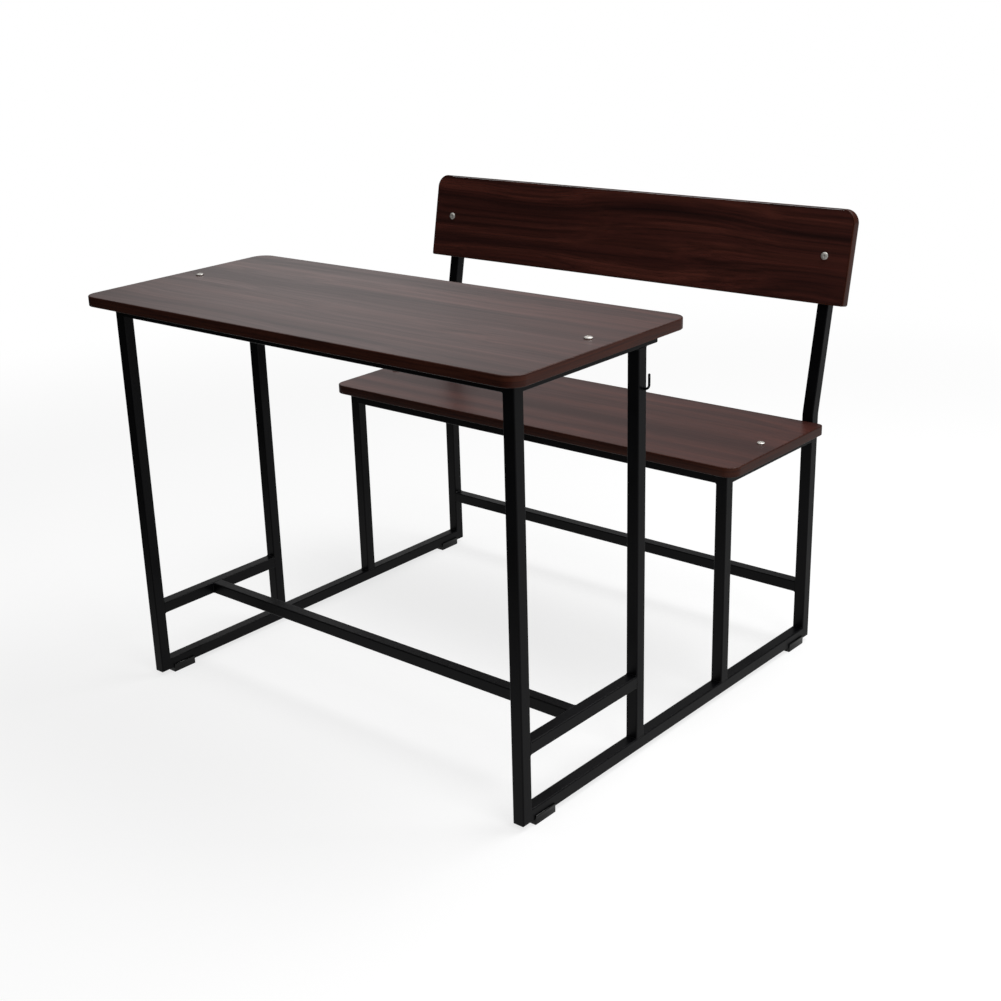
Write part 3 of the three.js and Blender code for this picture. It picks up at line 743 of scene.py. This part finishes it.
def lipping():
    """Printed ABS: streaks follow the band_run attribute, the way round the board and the height, in
    metres. They are some 3 mm high and 120 mm long, and the satin varnish over them is a little uneven."""
    streak_length, streak_height, varnish_depth = 120 * MM, 3 * MM, 0.05 * MM
    material, tree, shader = new_material("abs_edge_lipping_printed")
    run = add(tree, "ShaderNodeAttribute", attribute_name="band_run").outputs["Vector"]
    scale = (1 / streak_length, 1 / streak_height, 1)
    drawn = add(tree, "ShaderNodeMapping", {"Vector": run, "Scale": scale})
    noise = {"Vector": drawn.outputs[0], "Scale": 1.0, "Detail": 3.0, "Roughness": 0.6}
    streaks = add(tree, "ShaderNodeTexNoise", noise)
    share = add(tree, "ShaderNodeMapRange", {0: streaks.outputs["Fac"], 1: 0.3, 2: 0.7})
    browns = {0: share.outputs[0], 6: linear(BAND_DARK), 7: linear(BAND_LIGHT)}
    colour = add(tree, "ShaderNodeMix", browns, data_type="RGBA")
    gloss = add(tree, "ShaderNodeMapRange", {0: streaks.outputs["Fac"], 3: 0.28, 4: 0.42})
    relief = {"Height": streaks.outputs["Fac"], "Strength": 0.2, "Distance": varnish_depth}
    bump = add(tree, "ShaderNodeBump", relief)
    tree.links.new(colour.outputs[2], shader.inputs["Base Color"])
    tree.links.new(gloss.outputs[0], shader.inputs["Roughness"])
    tree.links.new(bump.outputs["Normal"], shader.inputs["Normal"])
    shader.inputs["Specular IOR Level"].default_value = 0.25
    return material


lipping_brown = lipping()

# Each board's half sizes and placing function, and the radii of its front or lower and its rear or upper
# corners
boards = {
    "desktop": (*lying_board("desktop_edge_band"), (28 * MM, 28 * MM)),
    "seat": (*lying_board("seat_edge_band"), (25 * MM, 12 * MM)),
    "backrest": (*leaning_board(), (4 * MM, 26 * MM)),
}
for board, (halves, place, corners) in boards.items():
    part, along = edge_band(halves, corners, place)
    node = f"{board}_edge_band"
    piece = new_piece(f"lipping_{board}", [part], lipping_brown, [node])
    attribute = piece.data.attributes.new("band_run", "FLOAT_VECTOR", "POINT")
    attribute.data.foreach_set("vector", along.astype(np.float32).ravel())

# Bolts and nuts
# Zinc-plated M6 furniture bolts with a domed head and a hexagon socket, two through each board. Each goes
# through one wall of the tube behind the board, into a nut that is welded inside the tube.
thread_radius = 3 * MM
thread_pitch = 1 * MM
thread_depth = 0.55 * MM
head_radius = 7 * MM
head_height = 3.2 * MM
head_rim = 0.8 * MM
head_arris = 0.2 * MM
neck = 0.3 * MM
thread_length = 14 * MM
tip_chamfer = 0.7 * MM
chamfer_length = 0.8 * MM
socket_flats = 4 * MM
socket_mouth = 0.62 * socket_flats
mouth_depth = 0.35 * MM
socket_depth = 2 * MM
drill_point = 0.6 * MM
nut_flats = 10 * MM
nut_height = 5 * MM
nut_edge = 0.6 * MM
nut_bore = 0.3 * MM + thread_radius
past_nut = 2 * MM
ZINC = 0xE8E5DF
ZINC_DULL = 0xCBC7C1


def zinc_plate():
    """Bright zinc over turned steel: a metal with faint cloudy patches from the bath, drawn 2 mm wide,
    where it is duller and rougher. Its passivation film scatters some of the light, so it is less than
    fully metallic."""
    patch_width = 2 * MM
    material, tree, shader = new_material("zinc_plated_steel_bright")
    place = add(tree, "ShaderNodeTexCoord").outputs["Object"]
    patches = add(tree, "ShaderNodeTexNoise", {"Vector": place, "Scale": 1 / patch_width, "Detail": 3.0})
    zincs = {0: patches.outputs["Fac"], 6: linear(ZINC), 7: linear(ZINC_DULL)}
    colour = add(tree, "ShaderNodeMix", zincs, data_type="RGBA")
    gloss = add(tree, "ShaderNodeMapRange", {0: patches.outputs["Fac"], 1: 0.3, 2: 0.7, 3: 0.3, 4: 0.42})
    tree.links.new(colour.outputs[2], shader.inputs["Base Color"])
    tree.links.new(gloss.outputs[0], shader.inputs["Roughness"])
    shader.inputs["Metallic"].default_value = 0.6
    return material


def hexagon(turn, flats):
    """Radius of a hexagon that is flats wide, at the angles turn."""
    return flats / 2 / np.cos((turn + math.pi / 6) % (math.pi / 3) - math.pi / 6)


def turned_part(turn, radius, height, close_ends=False):
    """Grid of radius and height, each (rows, angles), round the axis. Its first and last row close with a
    face each, or else join, as round a bore."""
    radius, height, turn = np.broadcast_arrays(radius, height, turn)
    points = np.stack([radius * np.cos(turn), radius * np.sin(turn), height], -1)
    rows, columns = radius.shape
    faces = [grid_faces(rows, columns, wrap_rows=not close_ends)]
    if close_ends:
        last = (rows - 1) * columns
        faces += [np.arange(columns)[None, ::-1], np.arange(last, last + columns)[None]]
    return points.reshape(-1, 3), faces


def dome_bolt(reach):
    """One surface from the tip of the shank to the floor of the socket. The shank carries a helix, whose
    depth is a triangle wave of z / pitch - angle / 360 and fades out over one pitch at both ends. The head
    is a quarter ellipse on a short rim, and the socket's wall blends from a round mouth to the hexagon."""
    turn = np.linspace(0, 2 * math.pi, 48, endpoint=False)
    tip = -reach
    z_thread = np.arange(tip, tip + thread_length, thread_pitch / 8)[:, None]
    wave = np.abs(((z_thread / thread_pitch - turn / (2 * math.pi)) % 1) * 2 - 1)
    from_tip, from_end = z_thread - tip, z_thread[-1] - z_thread
    fade = np.clip(from_tip / thread_pitch, 0, 1) * np.clip(from_end / thread_pitch, 0, 1)
    chamfer = tip_chamfer * (1 - np.clip(from_tip / chamfer_length, 0, 1))
    shank = thread_radius - chamfer - thread_depth * wave * fade
    dome = np.linspace(0, 1, 15)[:, None] * math.acos(socket_mouth / head_radius)
    dome_radius = head_radius * np.cos(dome)
    dome_z = head_rim + (head_height - head_rim) * np.sin(dome)
    socket = hexagon(turn, socket_flats)[None]
    rows = [
        (shank, z_thread),
        (thread_radius, -neck),
        (thread_radius, 0),
        (head_radius - head_arris, 0),
        (head_radius, head_arris),
        (dome_radius, dome_z),
        (socket, head_height - mouth_depth),
        (socket, head_height - socket_depth),
        (socket / 20, head_height - socket_depth - drill_point),
    ]
    rings = [np.broadcast_arrays(radius, height, turn[None]) for radius, height in rows]
    radius = np.vstack([ring[0] for ring in rings])
    height = np.vstack([ring[1] for ring in rings])
    return turned_part(turn, radius, height, close_ends=True)


def hexagon_nut():
    """Hexagon prism whose corners are turned off at 30 degrees: its radius is the smaller of the hexagon's
    and of a cone's, which is 0.97 of the flats' at the faces and grows by the height over tan 30."""
    turn = np.linspace(0, 2 * math.pi, 96, endpoint=False)
    near_face = np.linspace(0, nut_edge, 7)
    depth = np.concatenate([near_face, [nut_height / 2], nut_height - near_face[::-1]])[:, None]
    from_face = np.minimum(depth, nut_height - depth)
    cone = nut_flats / 2 * 0.97 + from_face / math.tan(math.radians(30))
    outside = np.minimum(hexagon(turn, nut_flats), cone)
    bore = np.full((2, len(turn)), nut_bore)
    radius = np.vstack([bore[:1], outside, bore[1:]])
    height = np.vstack([[[0]], depth, [[nut_height]]])
    return turned_part(turn, radius, np.broadcast_to(height, radius.shape))


zinc = zinc_plate()
grip = board_thickness + board_gap + tube_wall
bolt_reach = grip + 2 * board_gap + nut_height + past_nut
for board, (halves, place, corners) in boards.items():
    for side, sign in SIDES.items():
        name = f"{board}_{side}"
        board_middle = place(np.zeros((1, 3)))[0]
        across = 0 if board == "backrest" else middle(f"{name}_bolt")[1] - board_middle[1]
        spot = np.array([sign * side_x, across, 0])
        fasteners = {
            "bolt": (dome_bolt(bolt_reach), board_thickness + board_gap),
            "nut": (hexagon_nut(), board_thickness - grip - board_gap - nut_height),
        }
        for kind, ((points, faces), height) in fasteners.items():
            part = place(points + spot + [0, 0, height]), faces
            new_piece(f"m6_{name}_{kind}", [part], zinc, [f"{name}_{kind}"])

# Floor
# Pale matt paint on a plain studio floor. The camera sees it white, with the desk's own soft shadow.
# Mirrored in paint and metal it shows a painted glow instead of its lit paint: a painted reflection, bright
# behind the desk and to its right and dim to its front left.
FLOOR_PALE = 0xBFBFBD
floor_half = 8.0
shadow_reach = 1.6
fade_reach = 3.2
mirrored_dim = 0.04
mirrored_bright = 0.5
painted_glow_side = (0.5, 0.87, 0)
paint_seen = 0.32
glow_seen = 0.74


def glow_along(tree, vector, direction, places, values):
    """Value that goes smoothly from values[0] to values[1] as vector . direction goes from places[0] to
    places[1]."""
    share = add(tree, "ShaderNodeVectorMath", {0: vector, 1: direction}, operation="DOT_PRODUCT")
    steps = {0: share.outputs["Value"], 1: places[0], 2: places[1], 3: values[0], 4: values[1]}
    return add(tree, "ShaderNodeMapRange", steps, interpolation_type="SMOOTHSTEP").outputs[0]


def gloss_rays(tree, path):
    """1 for a ray that left a glossy or a clear surface, else 0."""
    kinds = {0: path.outputs["Is Glossy Ray"], 1: path.outputs["Is Transmission Ray"]}
    return add(tree, "ShaderNodeMath", kinds, operation="MAXIMUM").outputs[0]


def studio_floor():
    """Plain floor paint. For the camera it is part glow and part shaded paint near the desk, and all glow
    from fade_reach on."""
    material, tree, shader = new_material("studio_floor")
    tree.nodes.remove(shader)
    path = add(tree, "ShaderNodeLightPath")
    place = add(tree, "ShaderNodeTexCoord").outputs["Object"]
    paint = add(tree, "ShaderNodeBsdfDiffuse", {"Color": linear(FLOOR_PALE)})
    shaded = add(tree, "ShaderNodeBsdfDiffuse", {"Color": (paint_seen, paint_seen, paint_seen, 1)})
    glow = add(tree, "ShaderNodeEmission", {"Strength": glow_seen})
    white = add(tree, "ShaderNodeEmission", {"Strength": 1.0})
    near = add(tree, "ShaderNodeAddShader", {0: shaded.outputs[0], 1: glow.outputs[0]})
    away = add(tree, "ShaderNodeVectorMath", {0: place}, operation="LENGTH")
    reaches = {0: away.outputs["Value"], 1: shadow_reach, 2: fade_reach}
    fade = add(tree, "ShaderNodeMapRange", reaches, interpolation_type="SMOOTHSTEP")
    seen = add(tree, "ShaderNodeMixShader", {0: fade.outputs[0], 1: near.outputs[0], 2: white.outputs[0]})
    # Painted reflection: gloss rays see this glow instead of the lit paint, brighter behind the desk and to
    # its right
    floor_glow = glow_along(tree, place, painted_glow_side, (-1.5, -0.3), (mirrored_dim, mirrored_bright))
    mirrored = add(tree, "ShaderNodeEmission", {"Strength": floor_glow})
    by_gloss = {0: gloss_rays(tree, path), 1: paint.outputs[0], 2: mirrored.outputs[0]}
    unseen = add(tree, "ShaderNodeMixShader", by_gloss)
    by_camera = {0: path.outputs["Is Camera Ray"], 1: unseen.outputs[0], 2: seen.outputs[0]}
    surface = add(tree, "ShaderNodeMixShader", by_camera)
    tree.links.new(surface.outputs[0], tree.nodes["Material Output"].inputs["Surface"])
    return material


floor_mesh = bpy.data.meshes.new("floor")
floor_corners = [(x * floor_half, y * floor_half, 0) for x, y in ((-1, -1), (1, -1), (1, 1), (-1, 1))]
floor_mesh.from_pydata(floor_corners, [], [(0, 1, 2, 3)])
floor_mesh.materials.append(studio_floor())
floor = bpy.data.objects.new("floor", floor_mesh)
bpy.context.scene.collection.objects.link(floor)

# Studio light
# A white room, dimmer towards the horizon, with one large soft lamp overhead, behind and to the right of
# the desk, and one standing at its front right. Gloss mirrors a dim room with a large bright window to the
# rear left, a dark corner to the front left and a pale ceiling. The camera sees plain white.
world = bpy.data.worlds.new("studio")
bpy.context.scene.world = world
world.use_nodes = True
world_tree = world.node_tree
backdrop = world_tree.nodes["Background"]
world_path = add(world_tree, "ShaderNodeLightPath")
world_place = add(world_tree, "ShaderNodeTexCoord").outputs["Generated"]
upwards = (0, 0, 1)
to_window, to_window_top = (-0.70, 0.66, 0.265), (-0.5, 0.8, 0.33)
to_dark_corner = (-0.7, -0.71, 0)
ambient = glow_along(world_tree, world_place, upwards, (0.4, 0.95), (0.1, 0.6))
window = glow_along(world_tree, world_place, to_window, (0.966, 1.006), (0.08, 0.91))
window_top = glow_along(world_tree, world_place, to_window_top, (0.989, 1.0), (0.0, 0.55))
corner_dimming = glow_along(world_tree, world_place, to_dark_corner, (0.45, 0.99), (1.0, 0.06))
ceiling = glow_along(world_tree, world_place, upwards, (0.5, 0.85), (0.0, 0.8))
whole_window = add(world_tree, "ShaderNodeMath", {0: window, 1: window_top}).outputs[0]
# Gloss mirrors the window times the dimming, plus the ceiling
lights = {0: whole_window, 1: corner_dimming, 2: ceiling}
mirrored_room = add(world_tree, "ShaderNodeMath", lights, operation="MULTIPLY_ADD").outputs[0]
by_gloss = {0: gloss_rays(world_tree, world_path), 2: ambient, 3: mirrored_room}
room = add(world_tree, "ShaderNodeMix", by_gloss).outputs[0]
level = add(world_tree, "ShaderNodeMix", {0: world_path.outputs["Is Camera Ray"], 2: room, 3: 1.0})
world_tree.links.new(level.outputs[0], backdrop.inputs["Strength"])
backdrop.inputs["Color"].default_value = (1, 1, 1, 1)


def soft_lamp(name, place, aim, size, power, mirrored):
    """Square area lamp, size wide, at place. It faces aim and doesn't show itself to the camera. mirrored
    says whether gloss shows it."""
    light = bpy.data.lights.new(name, "AREA")
    light.shape = "SQUARE"
    light.size = size
    light.energy = power
    lamp = bpy.data.objects.new(name, light)
    lamp.location = place
    lamp.rotation_euler = (aim - lamp.location).to_track_quat("-Z", "Y").to_euler()
    lamp.visible_camera = False
    lamp.visible_glossy = mirrored
    bpy.context.scene.collection.objects.link(lamp)


# Sizes in metres and powers in watts. Gloss doesn't mirror the standing lamp, which would veil the
# backrest's grain when seen from the left.
target = (cad_bounds[0] + cad_bounds[1]) / 2
soft_lamp("overhead", (0.9, 1.0, 2.9), target, 1.8, 52, mirrored=True)
soft_lamp("right", (2.3, -0.8, 1.4), target, 1.2, 19, mirrored=False)

# Camera
# Fitted to the straight edges of the photographed desk: focal length and principal point in pixels of a
# picture 1001 wide, and the angles of the view. Its place is given from the middle of the front of the
# desk's legs.
picture = 1001
focal_pixels = 1534.9
centre_pixel = (428.8, 507.3)
azimuth, elevation, roll = (math.radians(angle) for angle in (42.94, 20.16, -2.53))
camera_x, camera_y, camera_z = 1777.7 * MM, -1604.5 * MM, 1309.6 * MM
front_of_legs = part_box("desk_front_leg_left")[0].y
level_forward = np.array([-math.sin(azimuth), math.cos(azimuth), 0])
forward = level_forward * math.cos(elevation) - Z * math.sin(elevation)
level_right = np.array([math.cos(azimuth), math.sin(azimuth), 0])
level_up = np.cross(level_right, forward)
right = level_right * math.cos(roll) + level_up * math.sin(roll)
up = np.cross(right, forward)
lens = bpy.data.cameras.new("camera")
lens.sensor_width = 36
lens.lens = focal_pixels / picture * lens.sensor_width
lens.shift_x = 0.5 - centre_pixel[0] / picture
lens.shift_y = centre_pixel[1] / picture - 0.5
camera = bpy.data.objects.new("camera", lens)
placed = np.eye(4)
placed[:3, :3] = np.column_stack([right, up, -forward])
placed[:3, 3] = camera_x, camera_y + front_of_legs, camera_z
camera.matrix_world = Matrix(placed.tolist())
bpy.context.scene.collection.objects.link(camera)
bpy.context.scene.camera = camera
bpy.context.scene.view_settings.view_transform = "Standard"
